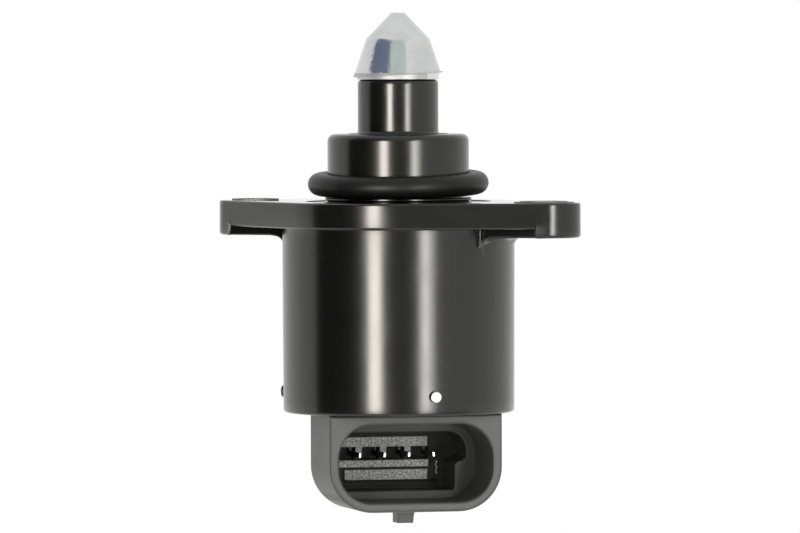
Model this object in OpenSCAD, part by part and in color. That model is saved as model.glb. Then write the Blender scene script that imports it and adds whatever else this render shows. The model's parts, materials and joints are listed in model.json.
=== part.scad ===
// Idle air control valve: a two-coil stepper motor in a flanged plastic cup.
// Its rotor is a nut that screws a steel shaft and the pintle on it in and out.
// Sizes are millimetres. The origin is the centre of the flange's mounting face,
// +Z runs along the valve axis to the pintle, and the connector faces -Y.

/* [Flange] */
// Distance between the two bolt holes
hole_spacing = 40; // [36:0.5:60]
// Bolt hole through the sleeve in each ear
bolt_hole_d = 4.4; // [3.2:0.1:6]
// Wall of the metal sleeve in each ear
sleeve_wall = 0.7; // [0.4:0.05:1.2]
// Height of each sleeve above the mounting face
sleeve_proud = 0.18; // [0:0.02:0.4]
// Moulding around each sleeve
ear_wall = 1.5; // [1:0.1:3]
// Direction of the right-hand ear from +X
ear_angle = -42; // [-60:1:60]
// Thickness of the flange plate
plate_t = 3.15; // [2:0.05:5]
// How far the plate stands out past the cup
plate_lip = 0.63; // [0.2:0.05:2]
// Depth of the ribs and ear ends below the plate
rib_drop = 1.1; // [0.5:0.1:3]
// Step from the side of the ear end in to the rib
rib_inset = 0.2; // [0.1:0.05:1]

/* [Cup] */
// Radius of the cup under the flange
cup_r = 14.12; // [14:0.01:18]
// Radius that the cup loses towards its open end
cup_taper = 0.07; // [0:0.01:0.3]
// Wall of the cup at its open end
cup_wall = 1.4; // [1:0.05:1.8]
// Thickness of the wall between the cup and the collar
cup_roof = 1.5; // [1:0.1:3]
// Rounding of the cup's lower edge
cup_edge = 0.4; // [0.1:0.05:0.8]

/* [Collar and nose] */
// Radius of the collar, the spigot that enters the intake
collar_r = 8.58; // [8.5:0.01:11]
// Height of the collar above the mounting face
collar_h = 8.24; // [7.8:0.02:12]
// Rounding of the collar's top edge
collar_round = 1.2; // [0.3:0.1:1.4]
// Width of the raised land around the nose
land_w = 1.17; // [0.3:0.01:2]
// Height of the raised land around the nose
land_h = 0.1; // [0.05:0.01:0.3]
// Radius of the nose
nose_r = 4.93; // [4.7:0.01:6]
// Height of the nose above the collar
nose_h = 6.51; // [5:0.01:12]
// Wall of the nose
nose_wall = 0.93; // [0.6:0.01:1.1]
// Chamfer of the nose's rim
nose_chamfer = 0.4; // [0.1:0.05:0.5]

/* [Seal ring] */
// Radius of the ring's round section
seal_section_r = 1.53; // [1.3:0.01:2]
// Depth of the seal groove in the collar
groove_depth = 0.68; // [0.4:0.02:0.9]
// Width of the seal groove
groove_w = 2.45; // [2:0.05:3]
// Height of the step under the groove
step_h = 0.5; // [0.2:0.05:1]
// How far the step stands out past the collar
step_out = 0.39; // [0:0.01:0.8]
// Tilt of the ring, which sits crooked on its groove
seal_tilt = 3.5; // [0:0.5:5]
// Direction of the ring's lowest side from +X
seal_low_side = 256; // [0:1:360]
// Slack of the ring around the groove's floor
seal_slack = 0.09; // [0:0.01:0.3]
// Depth of the shallow seat in the flange under the ring
seat_depth = 0.12; // [0.05:0.01:0.3]
// Room around the ring in that seat
seat_room = 0.3; // [0.1:0.05:0.6]

/* [Stator] */
// Height of one stator half
stack_h = 8.9; // [8:0.1:12]
// Thickness of the stator sheet
sheet_t = 0.8; // [0.5:0.05:1.2]
// Claw poles on each stator sheet
claw_count = 6; // [4:1:8]
// Angle that one claw takes up
claw_angle = 20; // [10:1:22]
// Height of the bent root that joins the claws
claw_root = 0.3; // [0.2:0.05:0.8]
// Gap from a claw's tip to the sheet opposite
claw_tip_gap = 0.8; // [0.4:0.1:2]
// Wall of the coil bobbin
bobbin_wall = 0.6; // [0.4:0.05:0.9]
// How far the bobbin's cheeks stand above the winding
winding_cover = 0.3; // [0.1:0.05:0.8]

/* [Rotor] */
// Radius of the magnet ring, as a share of the cup's radius
magnet_share = 0.4674; // [0.4:0.0002:0.49]
// Radial gap between the magnet and the claws
air_gap = 0.4; // [0.2:0.05:0.6]
// Length of the magnet ring
magnet_len = 15; // [12:0.5:16]
// Radius of the rotor hub inside the magnet
hub_r = 4; // [3.4:0.05:4.6]
// Radius of the rotor's rear journal
rear_journal_r = 3.1; // [2.8:0.05:3.3]
// Length of the threaded stretch of the hub
nut_len = 9; // [6:0.5:12]
// Clearance of the plain bore past the thread
bore_relief = 0.2; // [0.1:0.05:0.3]

/* [Ball bearing] */
// Wall between the bearing and the seal groove
bearing_wall = 1.38; // [1.1:0.02:1.7]
// Bore radius of the bearing
bearing_bore_r = 3; // [2.8:0.05:3.2]
// Width of the bearing
bearing_w = 5; // [4:0.1:5.4]
// Size of the balls, as a share of the space between the bearing's edges
ball_share = 0.5714; // [0.45:0.0002:0.62]
// Number of balls
ball_count = 7; // [5:1:8]
// Wall of the housing above the bearing, up to the collar's top
bearing_cover = 2.24; // [1.9:0.02:3]
// Floor that carries the guide bush
guide_floor = 1.6; // [1.2:0.1:1.8]

/* [Rear bush] */
// Outside radius of the rear bush
bush_r = 4.8; // [4.2:0.1:6]
// Length of the rear bush
bush_len = 2.5; // [2:0.1:3]

/* [Shaft and pintle] */
// Radius of the screw shaft
shaft_r = 2; // [1.6:0.05:2.1]
// Depth of the flat that stops the shaft turning
flat_depth = 0.5; // [0.3:0.05:0.8]
// Length of shaft held in the pintle
shaft_grip = 3.6; // [2.5:0.1:4.5]
// Free space under the shaft when it is drawn in
shaft_reserve = 5.7; // [4.5:0.1:8]
// Flange radius of the guide bush
guide_r = 3.8; // [3.6:0.05:3.95]
// Flange thickness of the guide bush
guide_flange = 0.7; // [0.5:0.05:1.2]
// Wall of the guide bush around the shaft
guide_wall = 0.75; // [0.5:0.05:0.85]
// Gap from the nose's rim to the pintle when it is drawn in
pintle_gap = 0.15; // [0.1:0.05:1]
// Radius of the pintle's base
pintle_base_r = 4.9; // [4.5:0.05:5.2]
// Radius of the pintle's lip
lip_r = 5.3; // [5.2:0.05:6]
// Height of the lip above the base
lip_rise = 0.65; // [0.3:0.05:1]
// Radius at the break between the two cones
break_r = 3.77; // [3:0.01:4.5]
// Height of the break above the base
break_rise = 5; // [4.7:0.05:6]
// Radius of the pintle's flat tip
tip_r = 0.7; // [0.3:0.05:1.2]
// Height of the tip above the base
tip_rise = 8.15; // [7:0.05:10]

/* [Spring] */
// Radius of the spring wire
wire_r = 0.27; // [0.2:0.01:0.32]
// Mean radius of the coils
coil_r = 3.1; // [2.75:0.05:3.3]
// Turns that work
active_turns = 5; // [3:1:7]

/* [Connector cap] */
// Length of the plug that fits in the cup
plug_len = 5.39; // [5.2:0.01:8]
// Height of the rim that clamps the stator
clamp_rim_h = 1; // [0.8:0.1:2]
// Width of the rim that clamps the stator
clamp_rim_w = 1.4; // [0.8:0.1:2]
// Width of the socket shroud
shroud_w = 21.4; // [20.5:0.1:22.4]
// Height of the socket shroud
shroud_h = 11.8; // [11.2:0.1:14]
// Distance from the valve axis to the shroud's rim
rim_reach = 8.8; // [8:0.1:10]
// Outer corner radius of the shroud
shroud_corner = 5.4; // [5:0.1:5.8]
// Wall of the shroud
shroud_wall = 1; // [0.8:0.05:1.3]
// Corner radius of the socket
socket_corner = 4.2; // [3:0.1:4.4]
// Depth of the wide part of the socket
socket_depth = 8.6; // [7:0.1:9]
// Thickness behind the socket's ledge
ledge_t = 1.9; // [1.2:0.1:3]
// Width of the ledge at the sides of the socket
ledge_w = 1.25; // [0.8:0.05:2]
// Width of the ledge above the recess
ledge_top = 1.27; // [0.6:0.01:1.6]
// Width of the ledge below the recess
ledge_bottom = 0.7; // [0.4:0.05:1.2]
// Depth of the recess behind the ledge
recess_depth = 5.8; // [5:0.1:7]
// Corner radius of the recess
recess_corner = 2.4; // [1.5:0.1:3]
// Width of the key in the recess
key_w = 1.45; // [0.8:0.05:2]
// Height of the key in the recess
key_h = 3.9; // [2:0.1:4.5]
// Wall at the sides of the recess
boss_side_wall = 0.85; // [0.6:0.05:1.2]
// Wall behind the recess
boss_back_wall = 1.6; // [1.3:0.1:3]
// Width of the latch nub
nub_w = 1.9; // [1.2:0.1:3]
// Length of the latch nub
nub_len = 2.9; // [2:0.1:4]
// Height of the latch nub
nub_h = 1.64; // [0.8:0.02:2.5]
// Distance from the rim back to the nub
nub_setback = 5.5; // [3:0.1:6.5]

/* [Terminals] */
// Number of terminals, each a node of its own
terminal_count = 4; // [4:1:4]
// Distance between terminals
terminal_pitch = 3.11; // [2.5:0.01:3.4]
// Side of the square terminal wire
terminal_w = 0.64; // [0.5:0.02:0.8]
// Height of the terminals above the socket's middle
terminal_rise = 0.6; // [0:0.1:1.5]
// Distance from the rim back to the terminals' tips
tip_setback = 9.86; // [9:0.02:11]
// Length of the taper at each tip
tip_taper = 0.4; // [0.2:0.05:0.8]
// Length that stands out of the plug towards the coils
tail_len = 0.5; // [0.2:0.05:0.7]

/* [Cap pins and cap seal] */
// Radius of the pins that hold the cap
cap_pin_r = 0.65; // [0.5:0.05:0.8]
// Height of the pins above the cup's open end
cap_pin_rise = 2.4; // [2:0.05:2.6]
// How far the pins go into the plug
cap_pin_bite = 2.2; // [1.5:0.1:3]
// How far the pins stand out of the cup
cap_pin_proud = 0.35; // [0.1:0.05:0.8]
// Direction of the first pin from +X
cap_pin_angle = 34; // [0:1:119]
// Section radius of the cap seal
cap_seal_r = 0.6; // [0.5:0.05:0.65]
// Distance from the plug's top to the seal
cap_seal_drop = 1.15; // [1:0.05:1.25]

/* [Clearances] */
// Radial gap of a piece that is pressed or moulded in
fit_gap = 0.02; // [0.01:0.01:0.04]
// Gap between faces that are stacked
seat_gap = 0.02; // [0.01:0.01:0.04]
// Radial gap of a journal, thread or guide that runs
run_gap = 0.05; // [0.02:0.01:0.08]

/* [Hidden] */

// Facets of a full circle, and the overrun of a cut
round_fn = 96;
cut = 1;
// Degrees between the points of a rounded edge
arc_step = 15;

// Flange, from its bolt holes
ear_reach = hole_spacing / 2;
sleeve_r = bolt_hole_d / 2 + sleeve_wall;
ear_r = sleeve_r + fit_gap + ear_wall;
plate_r = cup_r + plate_lip;
rib_half = ear_r - rib_inset;
flange_bottom = -plate_t - rib_drop;
tangent_angle = asin((plate_r - ear_r) / ear_reach);

// Cup and stator, stacked down from the mounting face
cup_end_r = cup_r - cup_taper;
cup_in = cup_end_r - cup_wall;
stator_top = -cup_roof - seat_gap;
stator_bottom = stator_top - 2 * stack_h - seat_gap;
stator_r = cup_in - 2 * fit_gap;
magnet_r = magnet_share * cup_r;
claw_in = magnet_r + air_gap;
claw_out = claw_in + sheet_t;
cap_rim_top = stator_bottom - seat_gap;
plug_top = cap_rim_top - clamp_rim_h;
plug_r = cup_in - fit_gap;
cup_bottom = plug_top - plug_len;

// Collar, seal groove and nose, stacked up from the mounting face
groove_r = collar_r - groove_depth;
groove_top = step_h + groove_w;
step_r = collar_r + step_out;
seal_r = groove_r + seal_section_r + seal_slack;
seal_z = seal_r * sin(seal_tilt) + seal_section_r - seat_depth + fit_gap;
seat_r = seal_r + seal_section_r + seat_room;
nose_top = collar_h + nose_h;
nose_in = nose_r - nose_wall;
bearing_top = collar_h - bearing_cover;
nose_floor = bearing_top + guide_floor;

// Ball bearing, under the guide floor
bearing_r = groove_r - bearing_wall - fit_gap;
ball_r = ball_share * (bearing_r - bearing_bore_r) / 2;
bearing_high = bearing_top - seat_gap;
bearing_low = bearing_high - bearing_w;
bearing_mid = (bearing_high + bearing_low) / 2;
ball_ring_r = (bearing_r + bearing_bore_r) / 2;
race_gap = 0.35 * ball_r;
groove_gap = 0.03;
cage_half_w = 0.45 * ball_r;
cage_low = bearing_mid - 0.4 * ball_r;
cage_high = bearing_mid + 1.6 * ball_r;

// Rotor
front_journal_r = bearing_bore_r - fit_gap;
shoulder_r = front_journal_r + 0.6 * (ball_ring_r - race_gap - bearing_bore_r);
hub_bottom = plug_top + 3 * run_gap;
journal_end = plug_top - bush_len + 4 * run_gap;
magnet_mid = (stator_top + stator_bottom) / 2;
thread_bore_r = shaft_r + run_gap;
plain_bore_r = thread_bore_r + bore_relief;
nut_top = magnet_mid + magnet_len / 2;

// Shaft, guide bush, spring and pintle
guide_shank_r = shaft_r + run_gap + guide_wall;
guide_low = bearing_top + 2 * run_gap;
guide_top = nose_floor + seat_gap + guide_flange;
pintle_base = nose_top + pintle_gap;
shaft_top = pintle_base + shaft_grip;
shaft_bottom = plug_top - bush_len + shaft_reserve;
flat_x = shaft_r - flat_depth;
spring_low = guide_top + seat_gap;
spring_high = pintle_base - seat_gap;

// Connector cap
shroud_top = cup_bottom - 2 * seat_gap;
shroud_bottom = shroud_top - shroud_h;
socket_top = shroud_top - shroud_wall;
socket_bottom = shroud_bottom + shroud_wall + 0.1;
socket_half = shroud_w / 2 - shroud_wall;
socket_mid = (socket_top + socket_bottom) / 2;
rim_y = -rim_reach;
ledge_y = rim_y + socket_depth;
shroud_back = ledge_y + ledge_t;
recess_half = socket_half - ledge_w;
recess_top = socket_top - ledge_top;
recess_bottom = socket_bottom + ledge_bottom;
floor_y = ledge_y + recess_depth;
boss_back = floor_y + boss_back_wall;
boss_half = recess_half + boss_side_wall;
boss_corner = 3.4;
terminal_z = socket_mid + terminal_rise;
terminal_tip_y = rim_y + tip_setback;
terminal_bend_y = floor_y + boss_back_wall / 2;
terminal_gap = 0.01;
plug_core_r = rim_reach - shroud_wall;
bush_pocket = bush_len + 4 * run_gap;

// Cap pins and cap seal
cap_pin_z = cup_bottom + cap_pin_rise;
cap_seal_z = plug_top - cap_seal_drop;
cap_seal_ring_r = cup_in - fit_gap - cap_seal_r;
cap_groove_r = cap_seal_ring_r - cap_seal_r - fit_gap;
cap_groove_half = cap_seal_r + 0.15;

// Colours
moulding_black = [0.13, 0.13, 0.14];
cap_grey = [0.42, 0.42, 0.41];
rubber_black = [0.2, 0.2, 0.19];
steel = [0.72, 0.73, 0.74];
zinc = [0.8, 0.81, 0.83];
tin = [0.85, 0.85, 0.8];
copper = [0.75, 0.42, 0.22];
bronze = [0.66, 0.5, 0.26];
magnet_grey = [0.25, 0.25, 0.28];
nylon_white = [0.88, 0.87, 0.82];
bobbin_green = [0.3, 0.42, 0.36];

// Points of a quarter round about [x, y], from one angle to another
function arc(x, y, r, from, to) =
  [for (i = [0:abs(to - from) / arc_step])
    let (a = from + i * arc_step * sign(to - from)) [x + r * cos(a), y + r * sin(a)]];

// A ring between two heights
module ring(r_out, r_in, low, high) {
  translate([0, 0, low])
    difference() {
      cylinder(r = r_out, h = high - low, $fn = round_fn);
      translate([0, 0, -cut])
        cylinder(r = r_in, h = high - low + 2 * cut, $fn = round_fn);
    }
}

// A solid round bar between two heights
module bar(r, low, high) {
  translate([0, 0, low])
    cylinder(r = r, h = high - low, $fn = round_fn);
}

// A round-section ring about the axis
module torus(ring_r, section_r) {
  rotate_extrude($fn = round_fn)
    translate([ring_r, 0])
      circle(r = section_r, $fn = 48);
}

// A flat shape in X and Z, drawn out along Y between two places
module along_y(front, back) {
  translate([0, back, 0])
    rotate([90, 0, 0])
      linear_extrude(height = back - front)
        children();
}

// A box with all its corners rounded, in X and Z
module round_box(half, low, high, r) {
  translate([-half + r, low])
    square([2 * (half - r), high - low]);
  translate([-half, low + r])
    square([2 * half, high - low - 2 * r]);
  for (x = [-half + r, half - r], z = [low + r, high - r])
    translate([x, z])
      circle(r = r, $fn = round_fn);
}

// A box with only its lower corners rounded, in X and Z
module tub_box(half, low, high, r) {
  translate([-half + r, low])
    square([2 * (half - r), high - low]);
  translate([-half, low + r])
    square([2 * half, high - low - r]);
  for (x = [-half + r, half - r])
    translate([x, low + r])
      circle(r = r, $fn = round_fn);
}

// Places a child at each bolt hole, turned to the ear's own direction
module at_ears() {
  for (side = [0, 180])
    rotate(ear_angle + side)
      translate([ear_reach, 0, 0])
        children();
}

// Outline of the flange: the plate's circle, the ear ends, and the tangents between them
module flange_outline() {
  circle(r = plate_r, $fn = round_fn);
  for (side = [0, 180])
    rotate(ear_angle + side) {
      translate([ear_reach, 0])
        circle(r = ear_r, $fn = round_fn);
      polygon([
        [plate_r * sin(tangent_angle), -plate_r * cos(tangent_angle)],
        [ear_reach + ear_r * sin(tangent_angle), -ear_r * cos(tangent_angle)],
        [ear_reach + ear_r * sin(tangent_angle), ear_r * cos(tangent_angle)],
        [plate_r * sin(tangent_angle), plate_r * cos(tangent_angle)]
      ]);
    }
}

// The part of the ears that is as thick as the ribs: a straight rib and the full ear end
module rib_outline() {
  end_start = ear_reach + ear_r * sin(tangent_angle) / 2;
  for (side = [0, 180])
    rotate(ear_angle + side) {
      translate([0, -rib_half])
        square([ear_reach, 2 * rib_half]);
      translate([ear_reach, 0])
        circle(r = rib_half, $fn = round_fn);
      intersection() {
        rotate(-ear_angle - side)
          flange_outline();
        translate([end_start, -2 * ear_r])
          square([2 * ear_r, 4 * ear_r]);
      }
    }
}

// Half section of the moulding's round surfaces: cup, step, seal groove, collar and nose
module turned_section() {
  polygon(concat(
    [[0, cup_bottom]],
    arc(cup_end_r - cup_edge, cup_bottom + cup_edge, cup_edge, -90, 0),
    [
      [cup_r, flange_bottom], [cup_r, 0], [step_r, 0], [step_r, step_h],
      [groove_r, step_h], [groove_r, groove_top], [collar_r, groove_top]
    ],
    arc(collar_r - collar_round, collar_h - collar_round, collar_round, 0, 90),
    [
      [nose_r + land_w, collar_h], [nose_r + land_w, collar_h + land_h],
      [nose_r, collar_h + land_h], [nose_r, nose_top - nose_chamfer],
      [nose_r - nose_chamfer, nose_top], [0, nose_top]
    ]
  ));
}

// Places a child at each cap pin, pointing out of the cup
module at_cap_pins() {
  for (i = [0:2])
    rotate(cap_pin_angle + 120 * i)
      translate([0, 0, cap_pin_z])
        rotate([0, 90, 0])
          children();
}

// Cup, flange, collar and nose, one moulding
module housing() {
  color(moulding_black)
    difference() {
      union() {
        rotate_extrude($fn = round_fn)
          turned_section();
        translate([0, 0, -plate_t])
          linear_extrude(height = plate_t)
            flange_outline();
        translate([0, 0, flange_bottom])
          linear_extrude(height = rib_drop + plate_t / 2)
            rib_outline();
      }
      ring(seat_r, step_r, -seat_depth, cut);
      bar(cup_in, cup_bottom - cut, -cup_roof);
      bar(bearing_r + fit_gap, -cup_roof - cut, bearing_top);
      bar(guide_shank_r + fit_gap, bearing_top - cut, nose_floor + cut);
      bar(nose_in, nose_floor, nose_top + cut);
      at_ears()
        bar(sleeve_r + fit_gap, flange_bottom - cut, cut);
      at_cap_pins()
        cylinder(r = cap_pin_r + fit_gap, h = cup_r + cut, $fn = round_fn);
    }
}

// Metal sleeves that the bolts clamp on, one in each ear
module flange_sleeves() {
  color(steel)
    at_ears()
      ring(sleeve_r, bolt_hole_d / 2, flange_bottom, sleeve_proud);
}

// Rubber ring, squeezed to the groove's edges and resting on the flange's seat
module seal_ring() {
  color(rubber_black)
    difference() {
      translate([0, 0, seal_z])
        rotate([0, 0, seal_low_side])
          rotate([0, seal_tilt, 0])
            torus(seal_r, seal_section_r);
      bar(groove_r + fit_gap, -cut, collar_h);
      bar(collar_r + fit_gap, groove_top - fit_gap, collar_h);
      bar(step_r + fit_gap, -cut, step_h + fit_gap);
    }
}

// One terminal wire: taper, straight length in the socket, bend, and tail up through the plug
module terminal_wire(index, gap) {
  half = terminal_w / 2 + gap;
  x = (index - (terminal_count - 1) / 2) * terminal_pitch;
  translate([x, 0, terminal_z]) {
    hull() {
      translate([-half / 2, terminal_tip_y, -half / 2])
        cube([half, tip_taper, half]);
      translate([-half, terminal_tip_y + tip_taper, -half])
        cube([2 * half, tip_taper, 2 * half]);
    }
    translate([-half, terminal_tip_y + tip_taper, -half])
      cube([2 * half, terminal_bend_y - terminal_tip_y - tip_taper + half, 2 * half]);
    translate([-half, terminal_bend_y - half, -half])
      cube([2 * half, 2 * half, plug_top + tail_len - terminal_z + half]);
  }
}

module terminal(index) {
  color(tin)
    terminal_wire(index, 0);
}

// The straight square hole that a terminal leaves in the cap
module terminal_hole(index) {
  half = terminal_w / 2 + terminal_gap;
  x = (index - (terminal_count - 1) / 2) * terminal_pitch;
  translate([x - half, floor_y - cut, terminal_z - half])
    cube([2 * half, terminal_bend_y - floor_y + cut + half, 2 * half]);
  translate([x - half, terminal_bend_y - half, terminal_z - half])
    cube([2 * half, 2 * half, plug_top - terminal_z + half + cut]);
}

// Recess behind the socket's ledge, with the key left standing in its lower corner
module recess_outline() {
  difference() {
    round_box(recess_half, recess_bottom, recess_top, recess_corner);
    translate([recess_half - key_w, recess_bottom - cut])
      square([key_w + cut, key_h + cut]);
  }
}

// Rear cap with its plug, socket shroud, terminal block and latch nub, one moulding
module connector_cap() {
  color(cap_grey)
    difference() {
      union() {
        bar(plug_r, shroud_top, plug_top);
        bar(plug_core_r, shroud_top - shroud_wall / 2, plug_top);
        ring(plug_r, plug_r - clamp_rim_w, plug_top - cut, cap_rim_top);
        along_y(rim_y, shroud_back)
          tub_box(shroud_w / 2, shroud_bottom, shroud_top, shroud_corner);
        along_y(shroud_back - cut, boss_back)
          tub_box(boss_half, shroud_bottom + shroud_wall, shroud_top, boss_corner);
        translate([-nub_w / 2, rim_y + nub_setback, shroud_bottom - nub_h])
          cube([nub_w, nub_len, nub_h + shroud_wall / 2]);
      }
      along_y(rim_y - cut, ledge_y)
        round_box(socket_half, socket_bottom, socket_top, socket_corner);
      along_y(ledge_y - cut, floor_y)
        recess_outline();
      bar(bush_r + fit_gap, plug_top - bush_pocket, plug_top + cut);
      ring(plug_r + cut, cap_groove_r, cap_seal_z - cap_groove_half, cap_seal_z + cap_groove_half);
      at_cap_pins()
        translate([0, 0, plug_r - cap_pin_bite - 2 * fit_gap])
          cylinder(r = cap_pin_r + fit_gap, h = cap_pin_bite + cut, $fn = round_fn);
      for (i = [0:terminal_count - 1])
        terminal_hole(i);
    }
}

// Three steel pins with domed ends, through the cup into the plug
module cap_pins() {
  dome_h = 0.2;
  pin_start = plug_r - cap_pin_bite;
  pin_len = cup_r + cap_pin_proud - dome_h - pin_start;
  color(steel)
    at_cap_pins()
      translate([0, 0, pin_start]) {
        cylinder(r = cap_pin_r, h = pin_len, $fn = round_fn);
        translate([0, 0, pin_len])
          cylinder(r1 = cap_pin_r, r2 = 0.6 * cap_pin_r, h = dome_h, $fn = round_fn);
      }
}

// Seal between the plug and the cup
module cap_seal() {
  color(rubber_black)
    translate([0, 0, cap_seal_z])
      torus(cap_seal_ring_r, cap_seal_r);
}

// What is punched out between the claws, over a stretch of height
module claw_slots(low, high, start) {
  half = 180 / claw_count - claw_angle / 2;
  near = claw_in / 2;
  far = stator_r - sheet_t - cut / 2;
  for (i = [0:claw_count - 1])
    rotate(start + (i + 0.5) * 360 / claw_count)
      translate([0, 0, low])
        linear_extrude(height = high - low)
          polygon([
            [near * cos(half), -near * sin(half)], [far * cos(half), -far * sin(half)],
            [far * cos(half), far * sin(half)], [near * cos(half), near * sin(half)]
          ]);
}

// Sheet metal cup of a stator half, with its claws and outer wall
module stator_cup() {
  disc_low = stator_top - sheet_t;
  wall_low = stator_top - stack_h + sheet_t + seat_gap;
  claw_low = wall_low + claw_tip_gap;
  color(steel)
    difference() {
      rotate_extrude($fn = round_fn)
        polygon([
          [claw_in, claw_low], [claw_out, claw_low], [claw_out, disc_low],
          [stator_r - sheet_t, disc_low], [stator_r - sheet_t, wall_low],
          [stator_r, wall_low], [stator_r, stator_top], [claw_in, stator_top]
        ]);
      claw_slots(claw_low - cut, disc_low - claw_root, 0);
    }
}

// Sheet metal plate that closes a stator half, with its claws between the cup's
module pole_plate() {
  plate_low = stator_top - stack_h;
  plate_high = plate_low + sheet_t;
  claw_high = stator_top - sheet_t - claw_tip_gap;
  color(steel)
    difference() {
      rotate_extrude($fn = round_fn)
        polygon([
          [claw_in, plate_low], [stator_r, plate_low], [stator_r, plate_high],
          [claw_out, plate_high], [claw_out, claw_high], [claw_in, claw_high]
        ]);
      claw_slots(plate_high + claw_root, claw_high + cut, 180 / claw_count);
    }
}

// Moulded bobbin of a stator half
module bobbin() {
  low = stator_top - stack_h + sheet_t + 2 * seat_gap;
  high = stator_top - sheet_t - seat_gap;
  inner = claw_out + fit_gap;
  outer = stator_r - sheet_t - fit_gap;
  color(bobbin_green)
    difference() {
      ring(outer, inner, low, high);
      ring(outer + cut, inner + bobbin_wall, low + bobbin_wall, high - bobbin_wall);
    }
}

// Wire wound on a bobbin
module winding() {
  low = stator_top - stack_h + sheet_t + 2 * seat_gap + bobbin_wall + fit_gap;
  high = stator_top - sheet_t - seat_gap - bobbin_wall - fit_gap;
  color(copper)
    ring(stator_r - sheet_t - fit_gap - winding_cover, claw_out + 2 * fit_gap + bobbin_wall, low, high);
}

// Turns a front stator piece over and a quarter pole round, for the rear half
module rear_half() {
  translate([0, 0, stator_top + stator_bottom])
    mirror([0, 0, 1])
      rotate(90 / claw_count)
        children();
}

// Outer race of the front bearing
module bearing_outer_race() {
  color(steel)
    difference() {
      ring(bearing_r, ball_ring_r + race_gap, bearing_low, bearing_high);
      translate([0, 0, bearing_mid])
        torus(ball_ring_r, ball_r + groove_gap);
    }
}

// Inner race of the front bearing
module bearing_inner_race() {
  color(steel)
    difference() {
      ring(ball_ring_r - race_gap, bearing_bore_r, bearing_low, bearing_high);
      translate([0, 0, bearing_mid])
        torus(ball_ring_r, ball_r + groove_gap);
    }
}

// Places a child at each ball
module at_balls() {
  for (i = [0:ball_count - 1])
    rotate(i * 360 / ball_count)
      translate([ball_ring_r, 0, bearing_mid])
        children();
}

// Balls of the front bearing
module bearing_balls() {
  color(steel)
    at_balls()
      sphere(r = ball_r, $fn = 48);
}

// Crown cage that spaces the balls
module bearing_cage() {
  cage_r = race_gap - groove_gap;
  color(nylon_white)
    difference() {
      ring(ball_ring_r + cage_r, ball_ring_r - cage_r, cage_low, cage_high);
      at_balls()
        sphere(r = ball_r + groove_gap, $fn = 48);
    }
}

// Sintered bush that the rotor's rear journal runs in
module rear_bush() {
  color(bronze)
    ring(bush_r, rear_journal_r + run_gap, plug_top - bush_len, plug_top);
}

// Outline of the shaft with its flat, grown by a gap
module shaft_outline(gap) {
  difference() {
    circle(r = shaft_r + gap, $fn = round_fn);
    translate([flat_x + gap, -2 * shaft_r])
      square([2 * shaft_r, 4 * shaft_r]);
  }
}

// Flanged bush whose hole matches the shaft's flat and stops it turning
module guide_bush() {
  color(nylon_white)
    difference() {
      union() {
        bar(guide_shank_r, guide_low, guide_top);
        bar(guide_r, nose_floor + seat_gap, guide_top);
      }
      translate([0, 0, guide_low - cut])
        linear_extrude(height = guide_top - guide_low + 2 * cut)
          shaft_outline(run_gap);
    }
}

// Magnet ring of the rotor
module rotor_magnet() {
  color(magnet_grey)
    ring(magnet_r, hub_r + fit_gap, magnet_mid - magnet_len / 2, magnet_mid + magnet_len / 2);
}

// Moulded rotor hub: journals at both ends and the nut thread inside
module rotor_hub() {
  color(nylon_white)
    difference() {
      union() {
        bar(hub_r, hub_bottom, nut_top);
        bar(shoulder_r, hub_bottom, bearing_low - seat_gap);
        bar(front_journal_r, hub_bottom, bearing_high - 4 * run_gap);
        bar(rear_journal_r, journal_end, hub_bottom + cut);
      }
      bar(thread_bore_r, journal_end - cut, bearing_high + cut);
      bar(plain_bore_r, nut_top, bearing_high + cut);
      bar(plain_bore_r, journal_end - cut, nut_top - nut_len);
    }
}

// Steel shaft: screw below, pintle end above, with one flat along it
module screw_shaft() {
  color(steel)
    translate([0, 0, shaft_bottom])
      linear_extrude(height = shaft_top - shaft_bottom)
        shaft_outline(0);
}

// Pintle that closes the air passage
module pintle() {
  color(zinc)
    difference() {
      translate([0, 0, pintle_base])
        rotate_extrude($fn = round_fn)
          polygon([
            [0, 0], [pintle_base_r, 0], [lip_r, lip_rise], [break_r, break_rise],
            [tip_r, tip_rise], [0, tip_rise]
          ]);
      translate([0, 0, pintle_base - cut])
        linear_extrude(height = shaft_grip + cut + fit_gap)
          shaft_outline(fit_gap);
    }
}

// Height of the spring wire's middle after some turns, flat over the first and last turn
function coil_z(turn) =
  let (rise = spring_high - spring_low - 2 * wire_r - 2 * dead_rise)
  spring_low + wire_r
    + dead_rise * (min(turn, 1) + max(turn - 1 - active_turns, 0))
    + rise * min(max(turn - 1, 0), active_turns) / active_turns;

coil_steps = 20;
wire_sides = 6;
dead_rise = 2 * wire_r + 2 * seat_gap;
spring_turns = active_turns + 2;

// Compression spring around the shaft, from the guide bush to the pintle
module return_spring() {
  rings = spring_turns * coil_steps;
  points = [
    for (i = [0:rings], j = [0:wire_sides - 1])
      let (
        turn = i / coil_steps,
        side = j * 360 / wire_sides,
        r = coil_r + wire_r * cos(side)
      )
      [r * cos(360 * turn), r * sin(360 * turn), coil_z(turn) + wire_r * sin(side)]
  ];
  sides = [
    for (i = [0:rings - 1], j = [0:wire_sides - 1])
      let (k = (j + 1) % wire_sides)
      [i * wire_sides + j, i * wire_sides + k, (i + 1) * wire_sides + k, (i + 1) * wire_sides + j]
  ];
  first_end = [for (j = [wire_sides - 1:-1:0]) j];
  last_end = [for (j = [0:wire_sides - 1]) rings * wire_sides + j];
  color(steel)
    polyhedron(points = points, faces = concat(sides, [first_end, last_end]), convexity = 10);
}

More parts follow.
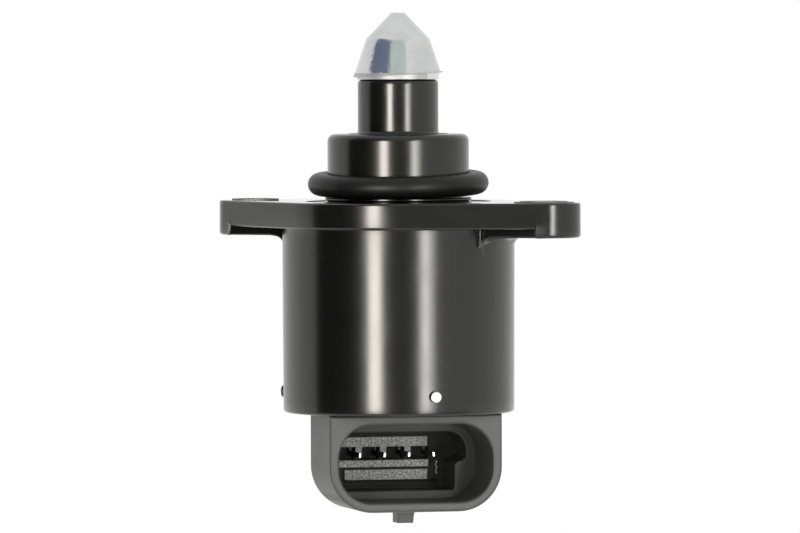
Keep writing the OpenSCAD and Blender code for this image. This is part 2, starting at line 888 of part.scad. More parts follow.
housing();
flange_sleeves();
seal_ring();
connector_cap();
cap_pins();
cap_seal();
terminal(0);  // terminal_1
terminal(1);  // terminal_2
terminal(2);  // terminal_3
terminal(3);  // terminal_4
stator_cup();  // front_stator_cup
pole_plate();  // front_pole_plate
rear_half() pole_plate();  // rear_pole_plate
rear_half() stator_cup();  // rear_stator_cup
bobbin();  // front_bobbin
rear_half() bobbin();  // rear_bobbin
winding();  // front_winding
rear_half() winding();  // rear_winding
bearing_outer_race();
bearing_inner_race();
bearing_balls();
bearing_cage();
rear_bush();
guide_bush();
rotor_magnet();
rotor_hub();
screw_shaft();
pintle();
return_spring();
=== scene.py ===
import json
import math

import bpy
from mathutils import Matrix, Quaternion, Vector


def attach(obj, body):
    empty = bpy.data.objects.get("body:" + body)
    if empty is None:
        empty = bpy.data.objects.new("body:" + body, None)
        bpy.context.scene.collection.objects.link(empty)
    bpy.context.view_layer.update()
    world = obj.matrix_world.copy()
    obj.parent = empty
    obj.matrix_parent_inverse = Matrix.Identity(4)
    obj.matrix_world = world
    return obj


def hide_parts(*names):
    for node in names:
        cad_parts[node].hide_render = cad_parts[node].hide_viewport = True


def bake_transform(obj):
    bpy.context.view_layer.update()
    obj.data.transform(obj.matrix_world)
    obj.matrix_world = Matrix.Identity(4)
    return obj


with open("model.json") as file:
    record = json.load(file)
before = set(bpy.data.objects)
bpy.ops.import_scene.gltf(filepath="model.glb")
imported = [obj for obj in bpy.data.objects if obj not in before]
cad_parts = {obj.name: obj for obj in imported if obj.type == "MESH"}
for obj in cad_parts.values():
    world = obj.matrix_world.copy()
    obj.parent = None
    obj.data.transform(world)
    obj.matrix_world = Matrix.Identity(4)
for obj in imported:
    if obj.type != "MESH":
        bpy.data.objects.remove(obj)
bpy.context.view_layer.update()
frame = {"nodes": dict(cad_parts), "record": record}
print("frame loaded:", len(frame["nodes"]), "nodes")

# Everything is in metres; mm turns a size in millimetres into metres.
mm = 0.001

# Camera, as in the photo: a long lens, a little above the flange, turned left of the connector.
cameraSetup = {
    "azimuth": -14.0,
    "elevation": 1.8,
    "distance": 0.95,
    "frameWidth": 0.0979,
    "aimAside": 0.00018,
    "aimHeight": -0.00799,
    "roll": -0.17,
    "sensor": 36.0,
}


def towards(azimuth, elevation):
    a, e = math.radians(azimuth), math.radians(elevation)
    return Vector((math.sin(a) * math.cos(e), -math.cos(a) * math.cos(e), math.sin(e)))


def addCamera():
    setup = cameraSetup
    back = towards(setup["azimuth"], setup["elevation"])
    side = towards(setup["azimuth"] + 90, 0)
    lookAt = side * setup["aimAside"] + Vector((0, 0, setup["aimHeight"]))
    data = bpy.data.cameras.new("photoCamera")
    data.sensor_width = setup["sensor"]
    data.lens = setup["sensor"] * setup["distance"] / setup["frameWidth"]
    data.clip_start = 0.01
    data.clip_end = 100
    camera = bpy.data.objects.new("photoCamera", data)
    bpy.context.collection.objects.link(camera)
    camera.location = lookAt + back * setup["distance"]
    turn = (-back).to_track_quat("-Z", "Y")
    camera.rotation_mode = "QUATERNION"
    camera.rotation_quaternion = turn @ Quaternion((0, 0, 1), math.radians(setup["roll"]))
    bpy.context.scene.camera = camera


addCamera()
print("camera placed")


# Materials

def newMaterial(name):
    material = bpy.data.materials.new(name)
    material.use_nodes = True
    tree = material.node_tree
    shader = next(n for n in tree.nodes if n.type == "BSDF_PRINCIPLED")
    return material, tree, shader


def addNode(tree, kind, place=(0, 0), **settings):
    made = tree.nodes.new(kind)
    made.location = place
    for key, value in settings.items():
        setattr(made, key, value)
    return made


def makeSurfaceGroup():
    # Uneven sheen and a fine grain for moulded, rolled and turned surfaces.
    group = bpy.data.node_groups.new("surfaceGrain", "ShaderNodeTree")
    face = group.interface
    for name, kind, value in (
        ("Vector", "NodeSocketVector", None),
        ("Color", "NodeSocketColor", (0.5, 0.5, 0.5, 1)),
        ("Tint Variation", "NodeSocketFloat", 0.1),
        ("Roughness", "NodeSocketFloat", 0.3),
        ("Roughness Variation", "NodeSocketFloat", 0.1),
        ("Grain Scale", "NodeSocketFloat", 4000.0),
        ("Grain Height", "NodeSocketFloat", 0.1),
        ("Blotch Scale", "NodeSocketFloat", 250.0),
    ):
        socket = face.new_socket(name=name, in_out="INPUT", socket_type=kind)
        if value is not None:
            socket.default_value = value
    for name, kind in (
        ("Color", "NodeSocketColor"), ("Roughness", "NodeSocketFloat"), ("Height", "NodeSocketFloat"),
    ):
        face.new_socket(name=name, in_out="OUTPUT", socket_type=kind)
    inside = addNode(group, "NodeGroupInput", (-900, 0))
    outside = addNode(group, "NodeGroupOutput", (700, 0))
    blotch = addNode(group, "ShaderNodeTexNoise", (-600, 200))
    blotch.inputs["Detail"].default_value = 4
    grain = addNode(group, "ShaderNodeTexNoise", (-600, -200))
    grain.inputs["Detail"].default_value = 2
    group.links.new(inside.outputs["Vector"], blotch.inputs["Vector"])
    group.links.new(inside.outputs["Blotch Scale"], blotch.inputs["Scale"])
    group.links.new(inside.outputs["Vector"], grain.inputs["Vector"])
    group.links.new(inside.outputs["Grain Scale"], grain.inputs["Scale"])
    centred = addNode(group, "ShaderNodeMath", (-350, 200), operation="SUBTRACT")
    centred.inputs[1].default_value = 0.5
    group.links.new(blotch.outputs["Fac"], centred.inputs[0])
    tint = addNode(group, "ShaderNodeMath", (-150, 300), operation="MULTIPLY_ADD")
    tint.inputs[2].default_value = 1.0
    group.links.new(centred.outputs[0], tint.inputs[0])
    group.links.new(inside.outputs["Tint Variation"], tint.inputs[1])
    colour = addNode(group, "ShaderNodeVectorMath", (100, 300), operation="SCALE")
    group.links.new(inside.outputs["Color"], colour.inputs[0])
    group.links.new(tint.outputs[0], colour.inputs["Scale"])
    rough = addNode(group, "ShaderNodeMath", (-150, 0), operation="MULTIPLY_ADD")
    group.links.new(centred.outputs[0], rough.inputs[0])
    group.links.new(inside.outputs["Roughness Variation"], rough.inputs[1])
    group.links.new(inside.outputs["Roughness"], rough.inputs[2])
    height = addNode(group, "ShaderNodeMath", (-150, -200), operation="MULTIPLY")
    group.links.new(grain.outputs["Fac"], height.inputs[0])
    group.links.new(inside.outputs["Grain Height"], height.inputs[1])
    group.links.new(colour.outputs[0], outside.inputs["Color"])
    group.links.new(rough.outputs[0], outside.inputs["Roughness"])
    group.links.new(height.outputs[0], outside.inputs["Height"])
    return group


surfaceGrain = makeSurfaceGroup()


def makeFinish(name, look):
    # One Principled surface with the grain group in front of it.
    material, tree, shader = newMaterial(name)
    coordinates = addNode(tree, "ShaderNodeTexCoord", (-900, 0))
    grain = addNode(tree, "ShaderNodeGroup", (-650, 0))
    grain.node_tree = surfaceGrain
    grain.inputs["Color"].default_value = (*look["color"], 1)
    grain.inputs["Tint Variation"].default_value = look.get("tintVariation", 0.15)
    grain.inputs["Roughness"].default_value = look["roughness"]
    grain.inputs["Roughness Variation"].default_value = look.get("roughnessVariation", 0.06)
    grain.inputs["Grain Scale"].default_value = look.get("grainScale", 4000)
    grain.inputs["Grain Height"].default_value = look.get("grainHeight", 0.3)
    grain.inputs["Blotch Scale"].default_value = look.get("blotchScale", 250)
    bump = addNode(tree, "ShaderNodeBump", (-300, -250))
    bump.inputs["Strength"].default_value = look.get("bumpStrength", 0.1)
    bump.inputs["Distance"].default_value = look.get("bumpDistance", 0.00002)
    tree.links.new(coordinates.outputs["Object"], grain.inputs["Vector"])
    tree.links.new(grain.outputs["Color"], shader.inputs["Base Color"])
    tree.links.new(grain.outputs["Roughness"], shader.inputs["Roughness"])
    tree.links.new(grain.outputs["Height"], bump.inputs["Height"])
    tree.links.new(bump.outputs["Normal"], shader.inputs["Normal"])
    shader.inputs["Metallic"].default_value = look.get("metallic", 0.0)
    shader.inputs["IOR"].default_value = look.get("ior", 1.5)
    shader.inputs["Specular IOR Level"].default_value = look.get("specular", 0.5)
    shader.inputs["Specular Tint"].default_value = (*look.get("specularTint", (1.0, 1.0, 1.0)), 1)
    return material


# Finishes: black moulding, grey cap, rubber, and the metals. What a finish leaves out is set in makeFinish.

finishes = {
    "moulding_black": {"color": (0.006, 0.0062, 0.0048), "roughness": 0.2, "roughnessVariation": 0.09,
                       "grainScale": 1100, "grainHeight": 0.6, "bumpStrength": 0.1,
                       "specular": 0.52, "specularTint": (1.0, 0.992, 0.94)},
    "moulding_face": {"color": (0.006, 0.0062, 0.0048), "roughness": 0.06, "roughnessVariation": 0.02,
                      "grainHeight": 0.1, "specular": 0.52, "specularTint": (1.0, 0.992, 0.94)},
    "cap_plastic": {"color": (0.075, 0.0745, 0.071), "roughness": 0.48, "bumpStrength": 0.3, "specular": 0.38},
    "socket_plastic": {"color": (0.075, 0.075, 0.072), "roughness": 0.5, "bumpStrength": 0.3, "specular": 0.18},
    # a darker copy of the cap plastic for the recess's faces: painted shade inside the socket
    "recess_painted_shade": {"color": (0.052, 0.052, 0.05), "roughness": 0.6, "specular": 0.05},
    # the cap plastic's grain, made pale: painted light on the lit part of the recess floor
    "frosted_painted_light": {"color": (0.55, 0.55, 0.54), "roughness": 0.55, "specular": 0.15,
                        "tintVariation": 3.2, "blotchScale": 3800, "grainScale": 5200, "grainHeight": 1.0,
                        "bumpStrength": 0.9, "bumpDistance": 0.00006},
    "seal_rubber": {"color": (0.0066, 0.0069, 0.0058), "roughness": 0.42, "bumpStrength": 0.3, "specular": 0.23},
    "bobbin_plastic": {"color": (0.03, 0.07, 0.045), "roughness": 0.4},
    "nylon": {"color": (0.72, 0.7, 0.64), "roughness": 0.45},
    "magnet": {"color": (0.03, 0.03, 0.034), "roughness": 0.55},
    "sleeve_steel": {"color": (0.3, 0.3, 0.29), "roughness": 0.65, "metallic": 1.0, "grainHeight": 0.02},
    # also darkens the cap pins' sides and the terminals behind their tips, which is painted shade
    "tinned_wire": {"color": (0.05, 0.05, 0.048), "roughness": 0.5, "metallic": 1.0},
    "pin_steel": {"color": (0.85, 0.85, 0.83), "roughness": 0.5, "metallic": 1.0},
    "stator_steel": {"color": (0.5, 0.5, 0.5), "roughness": 0.35, "metallic": 1.0},
    "copper_wire": {"color": (0.7, 0.27, 0.11), "roughness": 0.3, "metallic": 1.0},
    "bearing_steel": {"color": (0.62, 0.62, 0.63), "roughness": 0.15, "metallic": 1.0},
    "bronze": {"color": (0.42, 0.28, 0.12), "roughness": 0.5, "metallic": 1.0},
    "shaft_steel": {"color": (0.55, 0.55, 0.56), "roughness": 0.28, "metallic": 1.0},
    "spring_steel": {"color": (0.5, 0.5, 0.51), "roughness": 0.3, "metallic": 1.0},
    "terminal_metal": {"color": (0.8, 0.79, 0.75), "roughness": 0.2, "metallic": 1.0},
    "turned_metal": {"color": (0.44, 0.44, 0.42), "roughness": 0.42, "metallic": 1.0},
    "pintle_metal": {"color": (0.56, 0.575, 0.565), "roughness": 0.17, "metallic": 1.0, "tintVariation": 0.5,
                     "grainScale": 2600, "grainHeight": 1.0, "bumpStrength": 0.5, "bumpDistance": 0.00005},
}
materials = {name: makeFinish(name, look) for name, look in finishes.items()}
slotOf = {row["node"]: row["material_slot"] for row in frame["record"]["subparts"]}
for nodeName, nodeObject in frame["nodes"].items():
    nodeObject.data.materials.clear()
    nodeObject.data.materials.append(materials[slotOf[nodeName]])
print("finishes set:", len(materials))


# Modelling helpers

def selectOnly(made):
    bpy.ops.object.select_all(action="DESELECT")
    made.select_set(True)
    bpy.context.view_layer.objects.active = made


def arcPoints(x, y, radius, start, end, steps):
    # points of an arc about (x, y), in mm and degrees
    turn = [math.radians(start + (end - start) * i / steps) for i in range(steps + 1)]
    return [(x + radius * math.cos(a), y + radius * math.sin(a)) for a in turn]


def circlePoints(x, y, radius, count):
    return arcPoints(x, y, radius, 0, 360 - 360 / count, count - 1)


def boxPoints(left, right, low, high):
    return [(left, low), (right, low), (right, high), (left, high)]


def cleanMesh(made):
    # doubles merged and normals turned outwards
    selectOnly(made)
    bpy.ops.object.mode_set(mode="EDIT")
    bpy.ops.mesh.select_all(action="SELECT")
    bpy.ops.mesh.remove_doubles(threshold=2e-6)
    bpy.ops.mesh.normals_make_consistent(inside=False)
    bpy.ops.object.mode_set(mode="OBJECT")


def applyPlace(made):
    selectOnly(made)
    bpy.ops.object.transform_apply(location=True, rotation=True, scale=True)


def turnedSolid(name, profile, steps=180):
    # a profile of (radius, height) points in mm, drawn point by point and spun about Z
    bpy.ops.object.select_all(action="DESELECT")
    bpy.ops.mesh.primitive_plane_add(size=mm, location=(0, 0, 0))
    made = bpy.context.active_object
    made.name = name
    bpy.ops.object.mode_set(mode="EDIT")
    bpy.ops.mesh.select_all(action="SELECT")
    bpy.ops.mesh.merge(type="CENTER")
    bpy.ops.transform.translate(value=(profile[0][0] * mm, 0, profile[0][1] * mm))
    for (r0, z0), (r1, z1) in zip(profile, profile[1:]):
        step = ((r1 - r0) * mm, 0, (z1 - z0) * mm)
        bpy.ops.mesh.extrude_region_move(TRANSFORM_OT_translate={"value": step})
    bpy.ops.mesh.select_all(action="SELECT")
    bpy.ops.mesh.spin(steps=steps, angle=2 * math.pi, center=(0, 0, 0), axis=(0, 0, 1))
    bpy.ops.object.mode_set(mode="OBJECT")
    cleanMesh(made)
    return made


def flatSolid(name, loops, low, high, bevel=0.0, upright=False, segments=3):
    # a flat curve with holes, drawn out between two heights in mm, its edges rounded;
    # upright puts the outline in X and Z and draws it out along Y
    curve = bpy.data.curves.new(name, "CURVE")
    curve.dimensions = "2D"
    curve.fill_mode = "BOTH"
    for loop in loops:
        spline = curve.splines.new("POLY")
        spline.points.add(len(loop) - 1)
        for point, (x, y) in zip(spline.points, loop):
            point.co = (x * mm, y * mm, 0, 1)
        spline.use_cyclic_u = True
    curve.bevel_depth = bevel * mm
    curve.bevel_resolution = segments
    curve.offset = -bevel * mm
    curve.extrude = ((high - low) / 2 - bevel) * mm
    made = bpy.data.objects.new(name, curve)
    bpy.context.collection.objects.link(made)
    middle = (low + high) / 2 * mm
    made.location = (0, middle, 0) if upright else (0, 0, middle)
    made.rotation_euler = (math.pi / 2 if upright else 0, 0, 0)
    selectOnly(made)
    bpy.ops.object.convert(target="MESH")
    applyPlace(made)
    cleanMesh(made)
    return made


def combine(made, others, operation):
    # Boolean of a piece with others, which are used up
    for other in others:
        selectOnly(made)
        cutter = made.modifiers.new("join", "BOOLEAN")
        cutter.operation = operation
        cutter.solver = "MANIFOLD"
        cutter.object = other
        bpy.ops.object.modifier_apply(modifier=cutter.name)
        bpy.data.objects.remove(other)
    return made


def joinParts(parts):
    # separate parts made one object, without a Boolean
    selectOnly(parts[0])
    for part in parts[1:]:
        part.select_set(True)
    bpy.ops.object.join()
    return parts[0]


def finishPiece(made, body, slotName, *nodes, angle=30, flats=False):
    # smooth shading, finish, body and the CAD nodes that the piece stands for;
    # flats keeps broad flat faces flat beside their rounded edges
    selectOnly(made)
    bpy.ops.object.shade_smooth_by_angle(angle=math.radians(angle))
    if flats:
        weighted = made.modifiers.new("flats", "WEIGHTED_NORMAL")
        weighted.keep_sharp = True
        bpy.ops.object.modifier_apply(modifier=weighted.name)
    made.data.materials.clear()
    made.data.materials.append(materials[slotName])
    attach(made, body)
    if nodes:
        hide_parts(*nodes)


# Housing: cup, flange with two ears, collar and nose, one moulding

housing = {
    # cup, open at the bottom, and its bores
    "cupRadius": 14.2, "cupEnd": 14.13, "cupWaist": (14.135, 14.14), "cupBottom": -25.75, "cupEdge": 0.4,
    "cupInside": 12.65, "cupEntry": 0.3, "roof": -1.5, "cupPoints": (-7.0, -4.25),
    # flange
    "plateRadius": 14.75, "plateThickness": 3.15, "plateEdge": 0.28, "lipFillet": 0.08,
    "seatRadius": 11.35, "seatDepth": 0.12, "joinRadius": 12.4, "joinLow": -2.0, "joinHigh": -0.6,
    # ears, with a low land round the right bolt hole
    "earAngles": (-42, 138), "earReach": 20.0, "earRadius": 4.42, "earEdge": 0.36, "sleeveHole": 2.92,
    "landReach": 3.7, "landRise": 0.1, "landEdge": 0.1,
    "earEndFrom": 21.0, "earEndTop": -2.45, "earEndCorner": 0.2, "boltHoleLow": -6,
    # ribs under the ears as (along, height), with a hollow fillet and a broader root on one side
    "ribHalf": 4.4, "ribBottom": -4.25, "ribEdge": 0.22, "ribTop": -0.9, "ribInner": 11.8, "ribFlat": 15.6,
    "ribFillet": ((14.85, -4.32), (14.4, -4.45), (14.05, -4.7), (13.8, -5.05), (13.3, -5.4), (11.8, -5.6)),
    "rootHalf": 4.9, "rootEdge": 0.1,
    "rootSide": ((11.8, -0.95), (13.85, -0.95), (13.85, -4.6), (13.62, -5.3), (13.2, -5.75), (11.8, -5.9)),
    # step that carries the ring, groove and collar with its parting line
    "stepRadius": 8.97, "stepFoot": 8.62, "stepTop": 0.5, "stepEdge": 0.12,
    "grooveRadius": 7.9, "grooveTop": 2.95, "collarRadius": 8.65, "collarTop": 8.24, "collarRound": 0.85,
    "partingHeight": 5.9, "partingDepth": 0.005,
    # nose and the bores in it
    "landRadius": 6.1, "landTop": 8.34, "noseRadius": 4.93, "noseFoot": 0.3, "noseTop": 14.87,
    "noseChamfer": 0.4, "noseInside": 4.0, "noseEntry": 0.15, "noseFloor": 7.6,
    "guideHole": 2.82, "bearingSeat": 6.0, "bearingHole": 6.52,
}


def tangentOpening():
    # half angle between an ear's direction and the points where its sides leave the two circles
    h = housing
    return math.degrees(math.acos((h["plateRadius"] - h["earRadius"]) / h["earReach"]))


def earPlace(ear, along, across=0):
    # a point of an ear, along its direction and across it, in mm
    a = math.radians(ear)
    return along * math.cos(a) - across * math.sin(a), along * math.sin(a) + across * math.cos(a)


def flangeOutline():
    h = housing
    opening = tangentOpening()
    points = []
    for ear in h["earAngles"]:
        x, y = earPlace(ear, h["earReach"])
        points += arcPoints(x, y, h["earRadius"], ear - opening, ear + opening, 28)
        points += arcPoints(0, 0, h["plateRadius"], ear + opening, ear + 180 - opening, 28)
    return points


def ribSolid(ear):
    # the rib under an ear: a side profile drawn out across the ear
    h = housing
    low, far, top = h["ribBottom"] + 0.03, h["earEndFrom"] + 0.15, h["ribTop"]
    side = [(h["ribInner"], top), (far, top), (far, low), (h["ribFlat"], low), *h["ribFillet"]]
    made = flatSolid("rib", [side], -h["ribHalf"], h["ribHalf"], bevel=h["ribEdge"], upright=True)
    root = flatSolid("ribRoot", [h["rootSide"]], -h["rootHalf"], 0, bevel=h["rootEdge"], upright=True)
    combine(made, [root], "UNION")
    made.rotation_euler = (0, 0, math.radians(ear))
    applyPlace(made)
    return made


def earEnd(ear):
    # the full depth of the ear beyond its bolt hole, along the flange's outline, its inner corners rounded
    h = housing
    opening, corner = tangentOpening(), h["earEndCorner"]
    outline = arcPoints(h["earReach"], 0, h["earRadius"] + 0.01, -opening, opening, 60)
    x, y = outline[-1]
    across = y + (x - h["earEndFrom"]) / math.tan(math.radians(opening))
    inner = arcPoints(h["earEndFrom"] + corner, across - corner, corner, 90, 180, 3)
    outline += inner + [(x, -y) for x, y in reversed(inner)]
    points = [earPlace(ear, x, y) for x, y in outline]
    return flatSolid("earEnd", [points], h["ribBottom"], h["earEndTop"], bevel=h["earEdge"])


capPins = {
    "radius": 0.69, "near": 10.43, "far": 14.86, "dome": 0.3, "height": -23.35, "angles": (34, 154, 274),
    "clearance": 0.02, "holeNear": 11.0, "holeFar": 16.0,
}


def pinSolid(name, angle, radius, near, far, dome=0.0):
    # a round bar that points outwards from the axis, with a domed outer end
    profile = [(0, near), (radius - 0.04, near), (radius, near + 0.04), (radius, far - dome - 0.1)]
    profile += [(radius * math.cos(a), far - dome * (1 - math.sin(a))) for a in (0, 0.3, 0.6, 0.9, 1.2)]
    profile.append((0, far))
    made = turnedSolid(name, profile, steps=32)
    made.rotation_euler = (0, math.pi / 2, math.radians(angle))
    made.location = (0, 0, capPins["height"] * mm)
    applyPlace(made)
    return made


def pinHoles(name, near):
    p = capPins
    return [pinSolid(name, angle, p["radius"] + p["clearance"], near, p["holeFar"]) for angle in p["angles"]]


def cupProfile():
    # from the open end up to the flange and in over its top; slimmer round the pins
    h = housing
    bottom, edge, radius, fillet = h["cupBottom"], h["cupEdge"], h["cupRadius"], h["lipFillet"]
    low, high = h["cupWaist"]
    points = [(0, bottom), (h["cupInside"] + 0.15, bottom)]
    points += arcPoints(h["cupEnd"] - edge, bottom + edge, edge, -90, 0, 5)
    points += [(low, capPins["height"] - 1), (high, capPins["height"] + 1)]
    points += [(radius, height) for height in h["cupPoints"]]
    points += arcPoints(radius + fillet, -h["plateThickness"] - fillet, fillet, 180, 90, 5)
    return points + [(radius + fillet, h["joinLow"]), (h["joinRadius"], h["joinLow"]), (h["joinRadius"], h["joinHigh"])]


def neckProfile():
    # step, groove, collar and nose; extra points near the rounded ends keep the long faces straight in the gloss
    h = housing
    step, foot, edge = h["stepRadius"], h["stepFoot"], h["stepEdge"]
    collar, groove, turn = h["collarRadius"], h["grooveTop"], h["collarRound"]
    part, nose, noseFoot, top = h["partingHeight"], h["noseRadius"], h["noseFoot"], h["noseTop"]
    points = [(foot, h["joinHigh"]), (foot, -0.05), (step, h["stepTop"] - 0.25)]
    points += [(step, h["stepTop"] - edge), (step - edge, h["stepTop"])]
    points += [(h["grooveRadius"], h["stepTop"]), (h["grooveRadius"], groove)]
    points += [(collar - 0.2, groove), (collar, groove + 0.2), (collar, groove + 0.45)]
    points += [(collar, part - 0.2), (collar, part - 0.06), (collar - h["partingDepth"], part)]
    points += [(collar, part + 0.06), (collar, part + 0.2)]
    points += arcPoints(collar - turn, h["collarTop"] - turn, turn, 0, 90, 8)
    points += [(h["landRadius"], h["collarTop"]), (h["landRadius"] - 0.06, h["landTop"])]
    points += arcPoints(nose + noseFoot, h["landTop"] + noseFoot, noseFoot, 270, 180, 4)
    points += [(nose, h["landTop"] + 0.6), (nose, top - h["noseChamfer"] - 0.25)]
    points += [(nose, top - h["noseChamfer"]), (nose - 0.1, top - 0.15)]
    return points + [(nose - h["noseChamfer"], top), (0, top)]


def boreProfile():
    # cup, bearing seat, guide hole and nose bore, cut right through
    h = housing
    entry, inside, noseInside = h["cupEntry"], h["cupInside"], h["noseInside"]
    mouth, top = noseInside + h["noseEntry"], h["noseTop"]
    points = [(0, h["cupBottom"] - 1), (inside + entry, h["cupBottom"] - 1), (inside + entry, h["cupBottom"])]
    points += [(inside, h["cupBottom"] + entry), (inside, h["roof"]), (h["bearingHole"], h["roof"])]
    points += [(h["bearingHole"], h["bearingSeat"]), (h["guideHole"], h["bearingSeat"])]
    points += [(h["guideHole"], h["noseFloor"]), (noseInside, h["noseFloor"])]
    return points + [(noseInside, top - h["noseEntry"]), (mouth, top), (mouth, top + 1), (0, top + 1)]


def makeHousing():
    h = housing
    made = turnedSolid("housingMoulding", cupProfile() + neckProfile())
    plate = flatSolid("plate", [flangeOutline()], -h["plateThickness"], 0, bevel=h["plateEdge"], segments=4)
    added = [plate] + [ribSolid(ear) for ear in h["earAngles"]] + [earEnd(ear) for ear in h["earAngles"]]
    x, y = earPlace(h["earAngles"][0], h["earReach"])
    land = circlePoints(x, y, h["landReach"], 64)
    added.append(flatSolid("earLand", [land], h["joinHigh"], h["landRise"], bevel=h["landEdge"]))
    combine(made, added, "UNION")
    seat = [circlePoints(0, 0, radius, 128) for radius in (h["seatRadius"], h["stepRadius"] + 0.03)]
    removed = [turnedSolid("bores", boreProfile()), flatSolid("seat", seat, -h["seatDepth"], 1)]
    for ear in h["earAngles"]:
        x, y = earPlace(ear, h["earReach"])
        removed.append(flatSolid("boltHole", [circlePoints(x, y, h["sleeveHole"], 48)], h["boltHoleLow"], 1))
    removed += pinHoles("pinHole", capPins["holeNear"])
    combine(made, removed, "DIFFERENCE")
    cleanMesh(made)
    finishPiece(made, "root", "moulding_black", "housing")
    made.data.materials.append(materials["moulding_face"])
    for face in made.data.polygons:
        if face.normal.z > 0.999 and abs(face.center.z) < 0.05 * mm:  # the flat mounting face
            face.material_index = 1
    return made


def makeCapPins():
    p = capPins
    made = joinParts([pinSolid("capPin", angle, p["radius"], p["near"], p["far"], p["dome"])
                      for angle in p["angles"]])
    finishPiece(made, "root", "pin_steel", "cap_pins", angle=40)
    made.data.materials.append(materials["tinned_wire"])
    for face in made.data.polygons:  # bright domes; the sides are darkened, painted shade round the pins in their holes
        outward = Vector((face.center.x, face.center.y, 0)).normalized()
        face.material_index = 0 if face.normal.dot(outward) > 0.5 else 1


housingMoulding = makeHousing()
makeCapPins()
print("housing moulded:", len(housingMoulding.data.polygons), "faces")


# Connector cap: socket shroud, ledge, recess with its key, boss, plug in the cup and latch nub.
# X is across, Y runs from the socket's mouth to the back.

connector = {
    "halfWidth": 10.78, "top": -25.79, "bottom": -37.59, "corner": 5.4, "rim": -8.8, "back": 1.7, "rimEdge": 0.34,
    "socketHalf": 9.6, "socketTop": -26.94, "socketBottom": -36.42, "socketCorner": 4.1,
    "ledge": -0.2, "ledgeEdge": 0.18,
    "recessHalf": 8.45, "recessTop": -28.28, "recessBottom": -35.45, "recessCorner": 2.4,
    "keyWidth": 1.45, "keyTop": -31.89, "floor": 5.6,
    "bossHalf": 9.3, "bossBottom": -36.59, "bossCorner": 3.4, "bossBack": 7.2, "bossEdge": 0.35,
    "plugRadius": 12.63, "plugCore": 7.8, "plugTop": -20.36, "plugWell": 4.9, "wellDepth": 2.6,
    "clampTop": -19.36, "clampWidth": 1.4, "sealFloor": 10.8, "sealLow": -22.26, "sealHigh": -20.76,
    "nubHalf": 0.95, "nubFront": -3.3, "nubBack": -0.4, "nubBottom": -39.23, "nubEdge": 0.12,
}
# Recess floor: slots at the terminals, a groove below, grainy bands as (left, right, low, high, proud),
# teeth between the slots and a thin wavy raised line; all take a pale grainy colour, painted light on the lit part of
# the floor, and the bands stop where the shade begins on the right
floorBands = {
    "slotFrom": -1.83, "slotTo": 0.42, "slotLow": -31.85, "slotHigh": -30.35,
    "grooveFrom": -6.6, "grooveTo": 6.4, "grooveLow": -35.25, "grooveHigh": -34.45, "cutEdge": 0.05,
    "bands": (
        (-7.6, 4.9, -30.32, -29.1, 0.35),
        (-7.6, 4.9, -32.8, -31.95, 0.8),
        (-5.6, 4.9, -34.4, -33.15, 0.35),
    ),
    "toothFrom": 0.44, "toothTo": 1.26, "toothLow": 0.35, "toothHigh": 0.1, "toothProud": 0.34,
    "edge": 0.06, "sunk": 0.1,
    "waveAt": 6.05, "waveTop": -32.1, "waveStep": 0.24, "waveSwing": 0.09, "waveTurn": 2.1, "wavePoints": 8,
    "waveLeft": 0.07, "waveRight": 0.09, "waveProud": 0.3,
}
terminals = {
    "places": (-4.665, -1.555, 1.555, 4.665), "height": -31.12, "half": 0.32, "tip": 1.06, "tipHalf": (0.15, 0.24),
    "taper": 0.5, "bend": 6.4, "bendRadius": 0.4, "tailTop": -19.86, "edge": 0.05, "narrow": 0.2, "bright": 0.12,
}


def tubOutline(half, low, high, corner, steps=14):
    # square at the top, round at the lower corners
    points = [(half, high), (-half, high)]
    points += arcPoints(-half + corner, low + corner, corner, 180, 270, steps)
    points += arcPoints(half - corner, low + corner, corner, 270, 360, steps)
    return points


def roundOutline(half, low, high, corner, steps=12):
    points = []
    for x, z, start in ((half - corner, high - corner, 0), (-half + corner, high - corner, 90),
                        (-half + corner, low + corner, 180), (half - corner, low + corner, 270)):
        points += arcPoints(x, z, corner, start, start + 90, steps)
    return points


def recessOutline(grow=0.0):
    # the recess, with the key left standing in its lower right corner
    c = connector
    half, low, high = c["recessHalf"] + grow, c["recessBottom"] - grow, c["recessTop"] + grow
    corner, key, keyTop = c["recessCorner"], c["recessHalf"] - c["keyWidth"] + grow, c["keyTop"]
    points = arcPoints(half - corner, high - corner, corner, 0, 90, 10)
    points += arcPoints(-half + corner, high - corner, corner, 90, 180, 10)
    points += arcPoints(-half + corner, low + corner, corner, 180, 270, 10)
    points += [(key - 0.4, low)]
    points += arcPoints(key - 0.4, low + 0.4, 0.4, 270, 360, 4)
    points += [(key, keyTop - 0.45 + grow), (key + 0.3, keyTop - 0.2 + grow), (key + 0.3, keyTop + grow)]
    points += [(half - 0.55, keyTop + grow), (half - 0.3, keyTop + 0.35), (half, keyTop + 0.35)]
    return points


def plugProfile():
    # the disc that closes the cup, with the seal's groove, the clamp rim and a well for the rear bush
    c = connector
    radius, core, top, clamp = c["plugRadius"], c["plugCore"], c["plugTop"], c["clampTop"]
    points = [(0, c["top"] - 0.5), (core, c["top"] - 0.5), (core, c["top"])]
    points += [(radius - 0.3, c["top"]), (radius, c["top"] + 0.3)]
    points += [(radius, c["sealLow"]), (c["sealFloor"], c["sealLow"])]
    points += [(c["sealFloor"], c["sealHigh"]), (radius, c["sealHigh"])]
    points += [(radius, clamp), (radius - c["clampWidth"], clamp), (radius - c["clampWidth"], top)]
    points += [(c["plugWell"], top), (c["plugWell"], top - c["wellDepth"]), (0, top - c["wellDepth"])]
    return points


def nubOutline():
    # the latch nub, with a fillet on its right side
    c = connector
    half, bottom = c["nubHalf"], c["bottom"]
    return [(-half, bottom + 0.3), (-half, c["nubBottom"]), (half, c["nubBottom"]), (half + 0.12, bottom - 0.5),
            (half + 0.35, bottom - 0.15), (half + 0.8, bottom), (half + 0.8, bottom + 0.3)]


def within(x, z, half, low, high, margin):
    return abs(x) < half + margin and abs(z - (low + high) / 2) < (high - low) / 2 + margin


